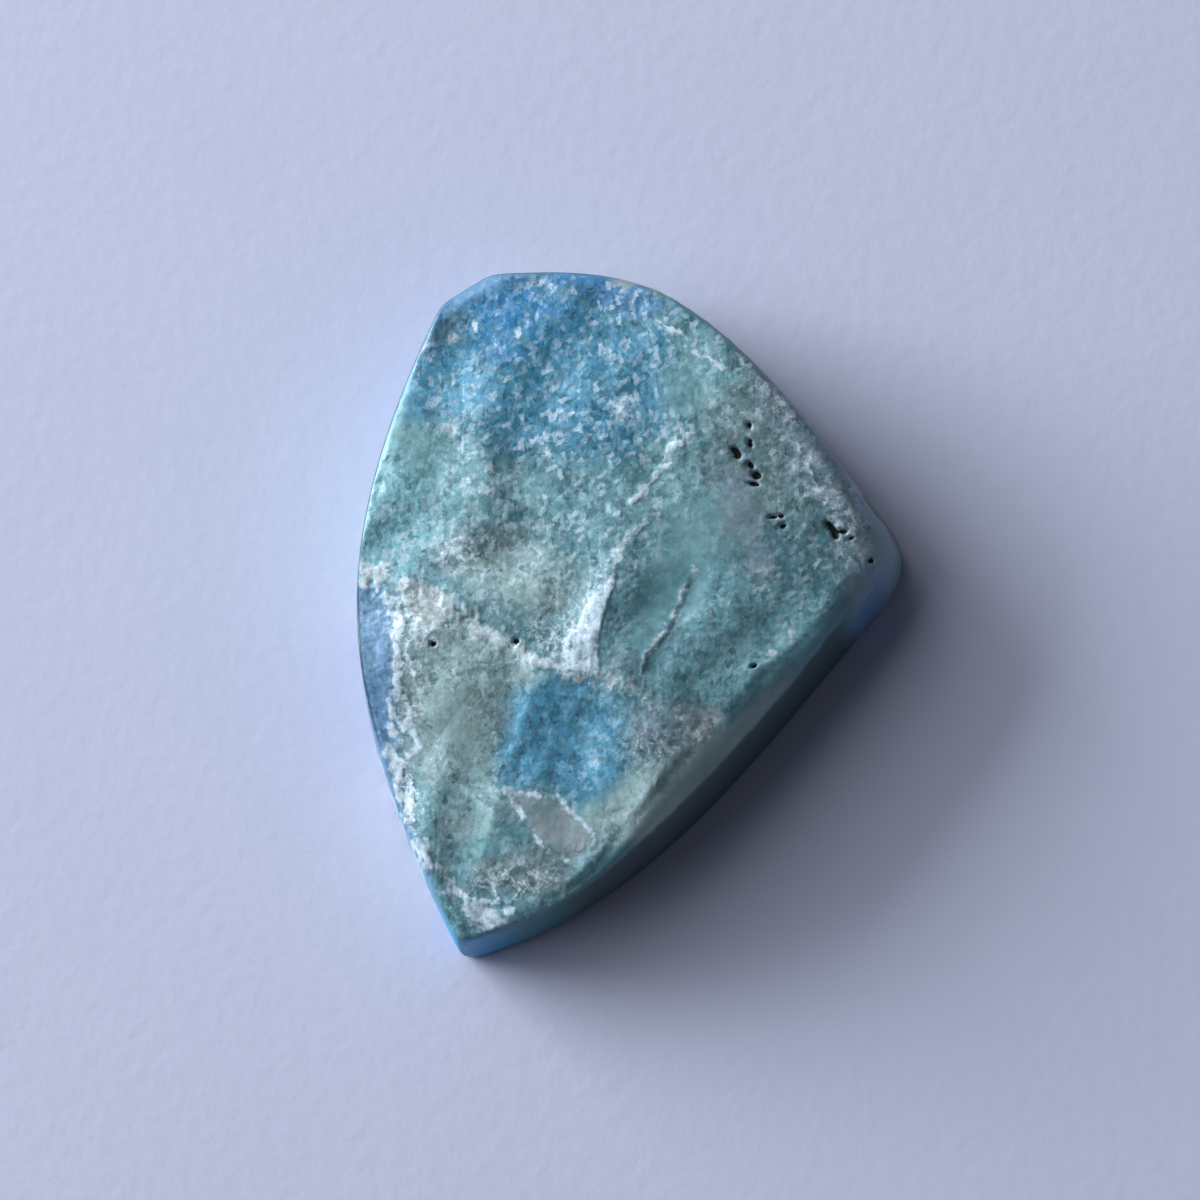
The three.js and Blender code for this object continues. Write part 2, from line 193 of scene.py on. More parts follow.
# Veins and lines on the top, as paths in plan. half is half the width, lift the height.
VEINS = {
    "main_left": {
        "path": [(-10.4, 1.2), (-9.2, 0.9), (-8.6, 0.6), (-7.4, -0.1), (-6.0, -0.9)],
        "half": 0.45, "lift": 0.10, "pale": 1.0, "warm": 0.8,
    },
    "main_middle": {
        "path": [(-6.0, -0.9), (-4.7, -1.6), (-3.4, -2.4), (-2.3, -2.9), (-1.0, -3.3)],
        "half": 0.27, "lift": 0.08, "pale": 0.9, "warm": 0.6,
    },
    "main_right": {
        "path": [(-1.0, -3.3), (0.5, -3.5), (1.2, -4.1), (2.3, -4.8), (3.3, -5.7)],
        "half": 0.26, "lift": 0.06, "pale": 0.65, "warm": 1.0,
    },
    "upper": {
        "path": [(3.1, 6.2), (2.5, 5.7), (2.0, 5.0), (1.7, 4.5), (0.9, 3.5)],
        "half": 0.12, "lift": 0.08, "pale": 0.85, "warm": 0.0, "taper": (1.5, 0.8),
    },
    "upper_to_wedge": {
        "path": [(1.8, 2.9), (1.2, 2.5), (0.6, 2.0), (0.35, 1.2)],
        "half": 0.11, "lift": 0.05, "pale": 0.7, "warm": 0.0,
    },
    "step": {
        "path": [(3.2, 0.9), (2.8, -0.3), (2.2, -1.6), (1.4, -2.5), (1.2, -3.3)],
        "half": 0.1, "lift": 0.05, "pale": 0.6, "warm": 0.1, "ledge": 0.06,
    },
    "plate_edge": {
        "path": [(5.1, 1.4), (5.6, 0.0), (6.1, 0.7), (6.7, 1.6), (7.2, 2.8)],
        "half": 0.07, "lift": 0.03, "pale": 0.35, "warm": 0.2,
    },
    "strip_border": {
        "path": [(-9.3, 0.8), (-8.7, 0.3), (-8.4, -1.0), (-8.5, -2.3), (-8.4, -3.4), (-8.8, -4.9),
                 (-8.9, -5.9), (-8.7, -6.8), (-8.5, -7.8), (-8.0, -9.0), (-7.4, -10.3)],
        "half": 0.24, "lift": 0.07, "pale": 0.95, "warm": 0.1,
    },
    "upper_loop": {
        "path": [(-8.6, -3.9), (-8.2, -4.1), (-7.9, -4.8), (-8.3, -5.0), (-8.6, -4.6)],
        "half": 0.1, "lift": 0.05, "pale": 0.7, "warm": 0.0,
    },
    "lower_loop": {
        "path": [(-8.3, -5.1), (-7.9, -4.9), (-7.7, -5.6), (-8.2, -6.2), (-8.5, -5.6), (-8.3, -5.1)],
        "half": 0.1, "lift": 0.05, "pale": 0.8, "warm": 0.0,
    },
    "tip": {
        "path": [(-7.1, -10.3), (-6.7, -11.1), (-5.8, -11.7), (-4.8, -11.9), (-4.3, -12.3)],
        "half": 0.16, "lift": 0.06, "pale": 0.85, "warm": 0.1,
    },
    "scallops": {
        "path": [(-7.1, -9.8), (-5.7, -10.4), (-4.7, -11.0), (-3.7, -10.4), (-3.1, -10.9),
                 (-2.1, -11.0)],
        "half": 0.12, "lift": 0.08, "pale": 0.45, "warm": 0.3,
    },
    "edge_flake": {
        "path": [(1.7, 10.7), (2.6, 10.2), (3.4, 9.5), (4.1, 9.0), (4.6, 8.6)],
        "half": 0.13, "lift": 0.06, "pale": 0.75, "warm": 0.1, "taper": (0.4, 1.5),
    },
    "right": {
        "path": [(7.4, 5.7), (7.6, 5.1), (8.1, 4.2), (8.5, 3.3), (8.9, 2.6)],
        "half": 0.09, "lift": 0.06, "pale": 0.5, "warm": 0.0,
    },
}

# The white wedge spreads to the left of this line, down to its widest where it meets the main vein
WEDGE_PATH = [(0.75, 2.1), (0.35, 1.1), (0.0, 0.0), (-0.3, -1.0), (-0.42, -2.0), (-0.5, -3.4)]
WEDGE_WIDTH = (0.7, 1.65)

# The smooth plate near the tip, with a pale rim
PLATE = [(-4.3, -7.6), (-3.1, -7.8), (-2.2, -7.9), (-1.2, -8.9), (-0.6, -9.6), (-1.7, -10.4),
         (-2.8, -9.8), (-3.6, -8.6), (-4.3, -7.6)]

# Pale crusts, with soft edges
PALE_PATCHES = [
    ((-7.3, -0.1), (1.6, 0.8), -0.5, 0.8),
    ((-7.3, -1.1), (0.7, 0.7), 0.2, 0.85),
    ((0.6, 7.2), (0.8, 0.9), 0.2, 0.5),
    ((-2.6, 5.5), (0.5, 0.5), 0.2, 0.5),
    ((-6.4, 6.6), (0.5, 0.45), 0.2, 0.6),
    ((-4.8, 4.3), (0.7, 0.35), 0.5, 0.6),
    ((-6.0, 2.0), (1.1, 0.4), 0.35, 0.6),
    ((-5.4, -12.4), (1.1, 0.7), -0.4, 0.75),
    ((-6.3, 10.3), (0.35, 0.25), 0.3, 0.75),
    ((-5.45, 10.8), (0.16, 0.35), 0.2, 0.7),
    ((-3.7, 10.4), (0.2, 0.35), 0.0, 0.7),
    ((-4.2, -7.6), (0.35, 0.3), 0.0, 0.6),
    ((6.2, -2.4), (0.3, 0.2), 0.2, 0.8),
    ((7.0, -1.8), (0.25, 0.5), 0.2, 0.6),
    ((8.6, 3.7), (0.4, 0.6), 0.6, 0.5),
]
WARM_PATCH = ((-7.0, -0.4), (2.2, 1.4), -0.5, 1.0)

# Where bright rims stand round small lobes
LACE_PATCHES = [
    ((-7.4, -0.8), (1.6, 1.3), -0.4, 1.0),
    ((-8.1, -3.4), (0.8, 2.6), 0.1, 0.9),
    ((-5.8, 1.8), (1.8, 0.9), 0.3, 0.8),
    ((-4.4, -11.2), (2.2, 0.7), 0.1, 0.7),
    ((-2.2, -1.6), (1.4, 1.4), -0.2, 0.7),
    ((-8.3, -7.4), (0.6, 1.6), 0.2, 1.0),
    ((7.6, 4.8), (1.0, 2.2), 0.7, 0.7),
    ((6.6, 7.4), (0.7, 2.6), 0.85, 0.6),
    ((9.2, 2.6), (1.0, 1.6), 0.6, 0.6),
    ((1.8, -6.0), (1.4, 1.0), 0.3, 0.6),
]

# Where the top is smooth
SMOOTH_PANELS = [
    ((2.6, 0.8), (1.3, 3.8), -0.45, 1.0),
    ((4.9, 2.6), (1.6, 2.6), 0.1, 0.85),
    ((3.2, 8.0), (1.6, 1.6), -0.5, 0.7),
    ((-8.0, 7.4), (1.0, 3.4), 0.25, 0.7),
    ((-6.2, -4.9), (1.1, 1.6), 0.1, 0.8),
    ((-2.3, -9.0), (1.4, 0.8), -0.7, 0.9),
    ((-5.4, -9.4), (1.0, 1.0), 0.0, 0.6),
    ((-0.6, -8.2), (2.0, 1.0), 0.75, 0.7),
    ((-6.0, 12.4), (1.9, 0.9), 0.55, 1.0),
    ((-9.4, -2.6), (0.8, 3.6), 0.1, 0.6),
]

# Where the crystals are clear, with few bright faces
CLEAR_PATCHES = [
    ((-4.6, 11.0), (3.2, 1.9), -0.2, 1.0),
    ((-8.2, 6.5), (1.2, 3.0), 0.3, 0.8),
    ((-2.6, -5.4), (2.0, 1.5), 0.3, 0.5),
]

# Where the shoulder is worn smooth and round
WORN_SHOULDERS = [
    ((4.6, -6.4), (7.8, 3.0), 0.83, 1.0),
    ((10.2, 0.6), (2.6, 2.6), 0.0, 1.0),
]
RIGHT_CORNER = ((10.4, 0.2), (2.2, 2.6), 0.0, 1.0)

RAISING = 0.45                  # share of the veins' lift that stands clear of the top

# Small dark pits: place, radii and turn
PITS = [
    ((4.90, 5.45), (0.20, 0.11), -0.9), ((5.45, 4.97), (0.17, 0.09), -1.0),
    ((5.68, 4.60), (0.17, 0.11), -0.9), ((5.60, 4.22), (0.15, 0.07), -0.2),
    ((5.45, 6.52), (0.08, 0.13), 0.0), ((5.45, 5.80), (0.07, 0.12), 0.2),
    ((6.30, 2.95), (0.14, 0.07), 0.2), ((6.62, 3.00), (0.08, 0.08), 0.0),
    ((6.68, 2.58), (0.10, 0.08), 0.5), ((8.60, 2.42), (0.30, 0.11), -1.0),
    ((9.00, 2.40), (0.13, 0.08), 0.0), ((9.30, 2.15), (0.10, 0.06), 0.4),
    ((10.0, 1.30), (0.09, 0.08), 0.0), ((5.50, -2.9), (0.10, 0.07), 0.6),
    ((-7.0, -1.9), (0.10, 0.08), 0.0), ((-3.7, -1.85), (0.12, 0.09), 0.3),
]
PIT_DEPTH = 0.26

# The low tip of the stone, and the ways that two of its sides face
LOW_TIP = (-6.7, -13.7)
LOWER_RIGHT = math.radians(-45)
UPPER_LEFT = math.radians(150)


# Noise and crystal patterns

def ramp(value, start, end):
    share = np.clip((value - start) / (end - start), 0, 1)
    return share * share * (3 - 2 * share)


def noise(x, y, width, seed):
    """Smooth noise between -1 and 1, whose bumps are about width across."""
    table = np.random.default_rng(seed).uniform(-1, 1, (256, 256))
    u, v = x / width + 500, y / width + 500
    i, j = np.floor(u).astype(int), np.floor(v).astype(int)
    du, dv = ramp(u - i, 0, 1), ramp(v - j, 0, 1)
    near, far = table[i % 256, j % 256], table[(i + 1) % 256, j % 256]
    near_up, far_up = table[i % 256, (j + 1) % 256], table[(i + 1) % 256, (j + 1) % 256]
    return (near * (1 - du) + far * du) * (1 - dv) + (near_up * (1 - du) + far_up * du) * dv


def rough_noise(x, y, width, seed, layers=3):
    total = sum(noise(x, y, width / 2**k, seed + k) / 2**k for k in range(layers))
    return total / sum(1 / 2**k for k in range(layers))


def crystal_faces(x, y, width, slope, lift, fall, seed):
    """Tilted faces that meet in creases: their height, and by how much the highest face wins."""
    rng = np.random.default_rng(seed)
    tables = rng.uniform(-1, 1, (5, 256, 256))
    i, j = np.floor(x / width).astype(int), np.floor(y / width).astype(int)
    best = np.full(x.shape, -np.inf)
    second = np.full(x.shape, -np.inf)
    for di in (-1, 0, 1):
        for dj in (-1, 0, 1):
            cell = ((i + di) % 256, (j + dj) % 256)
            shift_x, shift_y, tilt_x, tilt_y, level = (table[cell] for table in tables)
            dx = x - (i + di + 0.5 + 0.4 * shift_x) * width
            dy = y - (j + dj + 0.5 + 0.4 * shift_y) * width
            face = lift * level + slope * (tilt_x * dx + tilt_y * dy) - fall * (dx * dx + dy * dy)
            second = np.maximum(second, np.minimum(best, face))
            best = np.maximum(best, face)
    return best, best - second


def nearest_on_path(x, y, path):
    """Distance from each point to a path, how far along it the nearest point lies, and the side."""
    nearest, along, side = np.full(x.shape, np.inf), np.zeros(x.shape), np.zeros(x.shape)
    steps = len(path) - 1
    for k in range(steps):
        (ax, ay), (bx, by) = path[k], path[k + 1]
        length = (bx - ax) ** 2 + (by - ay) ** 2
        share = np.clip(((x - ax) * (bx - ax) + (y - ay) * (by - ay)) / length, 0, 1)
        away = np.hypot(x - ax - share * (bx - ax), y - ay - share * (by - ay))
        turn = np.sign((bx - ax) * (y - ay) - (by - ay) * (x - ax))
        along = np.where(away < nearest, (k + share) / steps, along)
        side = np.where(away < nearest, turn, side)
        nearest = np.minimum(nearest, away)
    return nearest, along, side


def reach_of(x, y, patch):
    """How far a point lies from the middle of a turned ellipse: 1 on the ellipse."""
    (cx, cy), (rx, ry), turn, _ = patch
    c, s = math.cos(turn), math.sin(turn)
    u, v = (x - cx) * c + (y - cy) * s, (y - cy) * c - (x - cx) * s
    return np.hypot(u / rx, v / ry)


def in_patch(x, y, patch):
    return patch[3] * (1 - ramp(reach_of(x, y, patch), 0.35, 1.25))


def in_patches(x, y, patches):
    """1 where the patches are strongest, with overlapping ones adding up softly."""
    clear = np.ones(x.shape)
    for patch in patches:
        clear *= 1 - in_patch(x, y, patch)
    return 1 - clear


def mineral_layers(x, y):
    """For each mineral in turn, the share by which it covers the ones before it."""
    total = np.full(x.shape, HOST_STRENGTH)
    layers = {}
    for name, (_, patches) in MINERALS.items():
        strength = sum(patch[3] * np.exp(-reach_of(x, y, patch) ** 2) for patch in patches)
        total = total + strength
        layers[name] = strength / total
    return layers


# The surface of the solid, felt with rays

def smooth_solid():
    """The solid's outside, rounded between its faces, for rays to hit."""
    mesh = bmesh.new()
    mesh.from_mesh(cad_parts[NODE].data)
    bmesh.ops.remove_doubles(mesh, verts=mesh.verts, dist=1e-7)
    base = [face for face in mesh.faces if face.normal.z < -0.99]
    bmesh.ops.delete(mesh, geom=base, context="FACES")
    bmesh.ops.join_triangles(
        mesh, faces=mesh.faces, angle_face_threshold=0.7, angle_shape_threshold=0.9
    )
    crease = mesh.edges.layers.float.new("crease_edge")
    for edge in mesh.edges:
        walls = len(edge.link_faces) == 2 and all(abs(face.normal.z) < 0.3 for face in edge.link_faces)
        if walls:
            turn = math.degrees(edge.calc_face_angle())
            edge[crease] = min(1.0, max(0.0, (turn - CREASED_FROM) / CREASED_BY))
    data = bpy.data.meshes.new("smooth_solid")
    mesh.to_mesh(data)
    mesh.free()
    helper = bpy.data.objects.new("smooth_solid", data)
    bpy.context.scene.collection.objects.link(helper)
    subdivision = helper.modifiers.new("subdivision", "SUBSURF")
    subdivision.use_creases = True
    subdivision.levels = 2
    bpy.context.view_layer.update()
    shape = helper.evaluated_get(bpy.context.evaluated_depsgraph_get())
    tree = BVHTree.FromPolygons(
        [vertex.co / MM for vertex in shape.data.vertices],
        [tuple(polygon.vertices) for polygon in shape.data.polygons],
    )
    bpy.data.objects.remove(helper)
    bpy.data.meshes.remove(data)
    return tree


def feel_profiles(tree):
    """For each direction from the hub, the radius of the foot of the wall and that of the top's rim."""
    angles = np.arange(DIRECTIONS) / DIRECTIONS * 2 * math.pi
    climbs = np.linspace(0.0, HIGHEST_CLIMB, PROFILE_RAYS)
    base, rim = np.zeros(DIRECTIONS), np.zeros(DIRECTIONS)
    start = Vector(HUB)
    for k, angle in enumerate(angles):
        c, s = math.cos(angle), math.sin(angle)
        foot = tree.ray_cast(Vector((HUB[0], HUB[1], EDGE_ROWS[-1])), Vector((c, s, 0)))[3]
        base[k] = foot
        last = None
        for climb in climbs:
            ray = Vector((c * math.cos(climb), s * math.cos(climb), math.sin(climb)))
            hit = tree.ray_cast(start, ray)[0]
            here = (math.hypot(hit.x - HUB[0], hit.y - HUB[1]), hit.z)
            if last and here[1] - last[1] < STEEP * (last[0] - here[0]):
                break
            last = here
        rim[k] = last[0]
    window = np.array([0.25, 0.5, 0.25])
    for _ in range(3):
        rim = np.convolve(np.r_[rim[-1], rim, rim[0]], window, "valid")
    return angles, base, rim


def sweep(angles, base):
    """Shares of the way round, half by angle and half by the outline's length."""
    x, y = base * np.cos(angles), base * np.sin(angles)
    steps = np.hypot(np.diff(np.r_[x, x[0]]), np.diff(np.r_[y, y[0]]))
    by_length = np.r_[0, np.cumsum(steps)] / steps.sum()
    by_angle = np.r_[angles, 2 * math.pi] / (2 * math.pi)
    return (by_length + by_angle) / 2, by_angle * 2 * math.pi


def around(angle, angles, values):
    return np.interp(angle % (2 * math.pi), np.r_[angles, 2 * math.pi], np.r_[values, values[0]])


def border_of_grid():
    """The grid's outermost points in order, once round."""
    steps = np.arange(GRID)
    zero, end = np.zeros(GRID, int), np.full(GRID, GRID)
    i = np.concatenate([steps, end, GRID - steps, zero])
    j = np.concatenate([zero, steps, end, GRID - steps])
    return i * (GRID + 1) + j


def feel_surface():
    """Points of the whole stone in rows, and how far inside the rim and below it each point lies."""
    tree = smooth_solid()
    angles, base, rim = feel_profiles(tree)
    shares, share_angles = sweep(angles, base)
    u, v = np.meshgrid(*[np.linspace(-1, 1, GRID + 1)] * 2, indexing="ij")
    u, v = u.ravel(), v.ravel()
    disc_x, disc_y = u * np.sqrt(1 - v * v / 2), v * np.sqrt(1 - u * u / 2)
    facing = np.arctan2(disc_y, disc_x) % (2 * math.pi) / (2 * math.pi)
    angle = np.interp(facing, shares, share_angles)
    spread = (np.maximum(abs(u), abs(v)) + np.hypot(disc_x, disc_y)) / 2
    edge = around(angle, angles, rim)
    x, y = HUB[0] + spread * edge * np.cos(angle), HUB[1] + spread * edge * np.sin(angle)
    down = Vector((0, 0, -1))
    z = np.array([tree.ray_cast(Vector((px, py, 2 * high[2])), down)[0].z for px, py in zip(x, y)])
    inset = edge * (1 - spread)
    z = settle(z, inset - 0.9 * in_patches(x, y, WORN_SHOULDERS))
    border = border_of_grid()
    rows, insets, depths = [np.c_[x, y, z]], [inset], [np.zeros(len(x))]
    top = z[border]
    heights = [top + (EDGE_ROWS[-1] - top) * k / WALL_ROWS for k in range(1, WALL_ROWS + 1)]
    heights += [np.full(len(border), height) for height in reversed(EDGE_ROWS[:-1])]
    for height in heights:
        points = []
        for direction, level in zip(angle[border], height):
            ray = Vector((math.cos(direction), math.sin(direction), 0))
            hit = tree.ray_cast(Vector((HUB[0], HUB[1], max(level, LOWEST_FELT))), ray)[0]
            points.append((hit.x, hit.y, level))
        rows.append(np.array(points))
        insets.append(np.zeros(len(border)))
        depths.append(top - height)
    foot = rows[-1]
    for ring in range(1, BASE_RINGS + 1):
        share = 1 - ring / (BASE_RINGS + 1)
        rows.append(np.r_[HUB[:2], 0] * (1 - share) + foot * share)
        insets.append(np.zeros(len(border)))
        depths.append(top)
    rows.append(np.array([[HUB[0], HUB[1], 0.0]]))
    insets.append(np.zeros(1))
    depths.append(np.full(1, top.mean()))
    return np.concatenate(rows), border, np.concatenate(insets), np.concatenate(depths)


def smoothed(values):
    """A grid of values after many passes of a narrow window, along both ways."""
    smooth = values.copy()
    for _ in range(SMOOTHING):
        for _axis in range(2):
            smooth[1:-1] += 0.25 * (smooth[2:] + smooth[:-2] - 2 * smooth[1:-1])
            smooth[0], smooth[-1] = smooth[1], smooth[-2]
            smooth = smooth.T
    return smooth


def settle(height, inward):
    """The top's heights with everything narrower than a millimetre smoothed away, inside its border.

    Only points well inside count in the mean, so that the rounding at the border pulls nothing down.
    The mean of what it misses is added back twice, because near the border a mean leans inwards.
    A border that stands above the top inside it is lowered, so that no groove runs inside the rim.
    """
    rough = height.reshape(GRID + 1, GRID + 1)
    inward = inward.reshape(rough.shape)
    weight = ramp(inward, 0.45, 0.9) + 1e-6
    smooth = np.zeros(rough.shape)
    for _ in range(3):
        smooth = smooth + smoothed((rough - smooth) * weight) / smoothed(weight)
    lowered = np.minimum(rough, smooth + RIM_STEP)
    keep = ramp(inward, 0.1, 0.7)
    return (lowered + (smooth - lowered) * keep).ravel()


def surface_faces(border):
    grid = np.arange((GRID + 1) ** 2).reshape(GRID + 1, GRID + 1)
    top = np.stack([grid[:-1, :-1], grid[1:, :-1], grid[1:, 1:], grid[:-1, 1:]], -1).reshape(-1, 4)
    count = len(border)
    faces = [tuple(face) for face in top.tolist()]
    upper = border
    first = (GRID + 1) ** 2
    for _ in range(WALL_ROWS + len(EDGE_ROWS) - 1 + BASE_RINGS):
        lower = np.arange(first, first + count)
        sides = np.stack([upper, lower, np.roll(lower, -1), np.roll(upper, -1)], -1)
        faces += [tuple(face) for face in sides.tolist()]
        upper, first = lower, first + count
    hub = first
    faces += [(hub, int(b), int(a)) for a, b in zip(upper, np.roll(upper, -1))]
    return faces


# Relief and colour

def vein_shapes(x, y):
    """How strongly each point lies in each vein: a ragged line with gaps, and crumbs beside it."""
    ragged_x = x + 0.22 * rough_noise(x, y, 0.8, 21)
    ragged_y = y + 0.22 * rough_noise(x, y, 0.8, 31)
    fray = 0.6 * noise(x, y, 0.22, 41) + 0.4 * noise(x, y, 0.5, 42)
    gaps = 0.35 + 0.65 * ramp(noise(x, y, 0.45, 43) + 0.4 * noise(x, y, 0.2, 44), -0.5, 0.05)
    crumbs = ramp(noise(x, y, 0.26, 45) + 0.5 * noise(x, y, 0.6, 46), 0.25, 0.5)
    shapes = {}
    for name, vein in VEINS.items():
        away, along, _ = nearest_on_path(ragged_x, ragged_y, vein["path"])
        start, end = vein.get("taper", (1, 1))
        half = vein["half"] * (start + (end - start) * along)
        line = 1 - ramp(away / half + fray, 0.55, 1.45)
        beside = 1 - ramp(away / (2.2 * half + 0.2), 0.3, 1.0)
        shapes[name] = np.maximum(line * gaps, 0.75 * beside * crumbs)
    return shapes


def wedge_shape(x, y):
    """The white wedge, with streaks that run down it and a sharp right edge."""
    bent_x = x + 0.12 * rough_noise(x, y, 0.7, 47)
    away, along, side = nearest_on_path(bent_x, y, WEDGE_PATH)
    left = -side * away
    width = WEDGE_WIDTH[0] + (WEDGE_WIDTH[1] - WEDGE_WIDTH[0]) * ramp(along, 0.35, 1.0)
    streak = noise(left, along * 1.4, 0.16, 48) + 0.5 * noise(x, y, 0.25, 49)
    inside = ramp(left, -0.05, 0.06) * (1 - ramp(left / width + 0.22 * streak, 0.7, 1.15))
    holes = ramp(streak, 0.05, 0.5) * ramp(left, 0.2, 0.45) * (1 - ramp(along, 0.5, 0.75))
    ends = ramp(along, 0.0, 0.12) * ramp(y + 0.2 * x, -3.5, -3.3)
    fading = 0.7 + 0.35 * ramp(along, 0.25, 0.7)
    return inside * ends * fading * (1 - 0.7 * holes) * (0.8 + 0.25 * streak)


def plate_shapes(x, y):
    """The smooth plate, and the ragged rim round it."""
    bent_x, bent_y = x + 0.1 * rough_noise(x, y, 0.6, 57), y + 0.1 * rough_noise(x, y, 0.6, 58)
    inside = np.zeros(x.shape, bool)
    for (ax, ay), (bx, by) in zip(PLATE[:-1], PLATE[1:]):
        if ay != by:
            crossing = ax + (bent_y - ay) / (by - ay) * (bx - ax)
            inside ^= ((ay > bent_y) != (by > bent_y)) & (bent_x < crossing)
    away, _, _ = nearest_on_path(bent_x, bent_y, PLATE)
    rim = 1 - ramp(away + 0.08 * noise(x, y, 0.2, 59), 0.04, 0.2)
    gaps = ramp(noise(x, y, 0.5, 60), -0.5, 0.1)
    return np.where(inside, ramp(away, 0, 0.2), 0), rim * gaps


def pit_shapes(x, y):
    dark = np.zeros(x.shape)
    for place, radii, turn in PITS:
        away = reach_of(x, y, (place, radii, turn, 1)) + 0.4 * noise(x, y, 0.17, 95)
        dark = np.maximum(dark, 1 - ramp(away, 0.7, 1.7))
    return dark


def facing_from_hub(x, y):
    return np.arctan2(y - HUB[1], x - HUB[0])


def wall_masks(x, y, inset, depth, worn, lower_right):
    """Where the sides are dark, teal and clear blue, partly painted shade and painted light.

    The long lower right wall is smooth and faces away from the light: its dark is partly the rock's
    own tone and partly painted shade. Towards the tip it turns teal and then clear blue, the stone's
    own blue brightened by painted light that shines through the thin tip. The other walls carry the
    pattern of the top down to the base, in a darker tone. A thin line of painted shade runs just
    inside the lit upper left rim.
    """
    upper_left = ramp(np.cos(facing_from_hub(x, y) - UPPER_LEFT), 0.1, 0.5)
    corner = in_patch(x, y, RIGHT_CORNER)
    side = 1 - ramp(inset, 0.0, 0.1 + 0.12 * worn * (1 - corner))
    # A thin line of painted shade just inside the lit upper left rim, drawn in the dark wall tone
    rim_shade_line = (1 - ramp(inset, 0.03, 0.13)) * (1 - ramp(depth, 0.05, 0.35))
    from_tip = np.hypot(x - LOW_TIP[0], y - LOW_TIP[1])
    # The dark wall tone, deepened as painted shade on the lower right walls that face away from the
    # light, and weaker at the right corner
    wall = side * (0.58 + 0.42 * lower_right) * (1 - 0.8 * corner)
    return {
        "wall": np.maximum(wall, rim_shade_line * upper_left),
        # Painted light shining through the thin tip: teal within a few millimetres of it, clear blue
        # nearest it
        "tip_glow_teal": side * (1 - ramp(from_tip, 2.6, 6.4)),
        "tip_glow_blue": side * (1 - ramp(from_tip, 0.8, 3.2)),
    }


def relief_and_colour(points, inset, depth):
    """Adds the fine relief of the top to the points and returns the masks that the material reads."""
    x, y = points[:, 0], points[:, 1]
    top = depth <= 0

    # Below the rim the pattern dips away, as layers and veins in a rock do
    flat_x, flat_y = x + 0.25 * depth, y + 0.12 * depth
    warp_x = flat_x + 0.45 * rough_noise(flat_x, flat_y, 2.0, 51)
    warp_y = flat_y + 0.45 * rough_noise(flat_x, flat_y, 2.0, 61)
    masks = mineral_layers(warp_x, warp_y)
    panel = in_patches(warp_x, warp_y, SMOOTH_PANELS)

    # The natural top starts at the shoulder; the walls and the worn shoulder are ground smooth
    worn = in_patches(x, y, WORN_SHOULDERS)
    start = 0.05 + 0.5 * worn
    natural = ramp(inset + 0.1 * noise(x, y, 0.6, 71), start, start + 0.15 + 0.6 * worn) * top
    sugary = natural * (1 - 0.75 * np.clip(panel, 0, 1))

    coarse, _ = crystal_faces(x, y, *LARGE_CRYSTALS)
    fine, _ = crystal_faces(x, y, *SMALL_CRYSTALS)
    lobes, crease = crystal_faces(x, y, *LOBES)
    lift = sugary * (coarse + fine) + natural * 0.008 * rough_noise(x, y, 0.5, 84)

    lace = in_patches(x, y, LACE_PATCHES) * natural
    rims = lace * (1 - ramp(crease, 0.015, 0.06)) * ramp(noise(x, y, 0.5, 85), -0.45, 0.15)
    lift = lift + 0.02 * rims - 0.05 * lace * (lobes - lobes.mean())

    pale = in_patches(x, y, PALE_PATCHES) * np.maximum(natural, 0.2)
    pale = np.maximum(pale, 0.85 * rims)
    # Where painted shade falls in the creases between the lobes
    masks["shade"] = lace * ramp(crease, 0.08, 0.12) * (1 - ramp(crease, 0.16, 0.3))
    masks["lace"] = in_patches(x, y, LACE_PATCHES) * np.where(top, 0.4 + 0.6 * natural, 0.6)
    warm = in_patch(x, y, WARM_PATCH)
    raised = np.zeros(len(points))
    for name, shape in vein_shapes(flat_x, flat_y).items():
        vein = VEINS[name]
        raised = np.maximum(raised, vein["lift"] * shape)
        if "ledge" in vein:
            away, along, beside = nearest_on_path(flat_x, flat_y, vein["path"])
            down = (1 - ramp(away, 0.1, 1.1)) * ramp(along, 0.0, 0.1) * (1 - ramp(along, 0.9, 1.0))
            lift = lift - vein["ledge"] * down * (beside > 0)
        pale = np.maximum(pale, vein["pale"] * shape)
        warm = np.maximum(warm, vein["warm"] * shape)
    wedge = wedge_shape(flat_x, flat_y) * top
    raised = np.maximum(raised, 0.14 * wedge)
    pale = np.maximum(pale, 0.95 * wedge)
    plate, plate_rim = plate_shapes(flat_x, flat_y)
    masks["blush"] = np.maximum(masks["blush"], 0.6 * plate)
    sugary = sugary * (1 - 0.4 * plate)
    raised = np.maximum(raised, 0.06 * np.maximum(plate, plate_rim))
    pale = np.maximum(pale, 0.7 * plate_rim)
    masks["pale"] = pale
    masks["warm"] = warm * (1 - wedge)
    lift = lift + RAISING * raised * (1 + 0.25 * noise(x, y, 0.25, 91)) * np.maximum(natural, 0.3)

    masks["dark"] = pit_shapes(x, y) * top
    lift = lift - PIT_DEPTH * masks["dark"]

    lower_right = ramp(np.cos(facing_from_hub(x, y) - LOWER_RIGHT), 0.2, 0.7)
    masks["sugar"] = np.where(top, sugary, 0.7 * (1 - lower_right))
    masks["clear"] = in_patches(warp_x, warp_y, CLEAR_PATCHES)
    # Where the painted glints fall: more towards the upper part, fewer on clear crystals and lace
    upper = ramp(y + 0.3 * rough_noise(x, y, 2.5, 97), -3.5, 2.5)
    plain = (1 - 0.7 * masks["clear"]) * (1 - 0.6 * masks["lace"])
    masks["shine"] = sugary * (0.3 + 0.5 * upper) * plain
    masks |= wall_masks(x, y, inset, depth, worn, lower_right)
    points[:, 2] += lift * top
    return masks


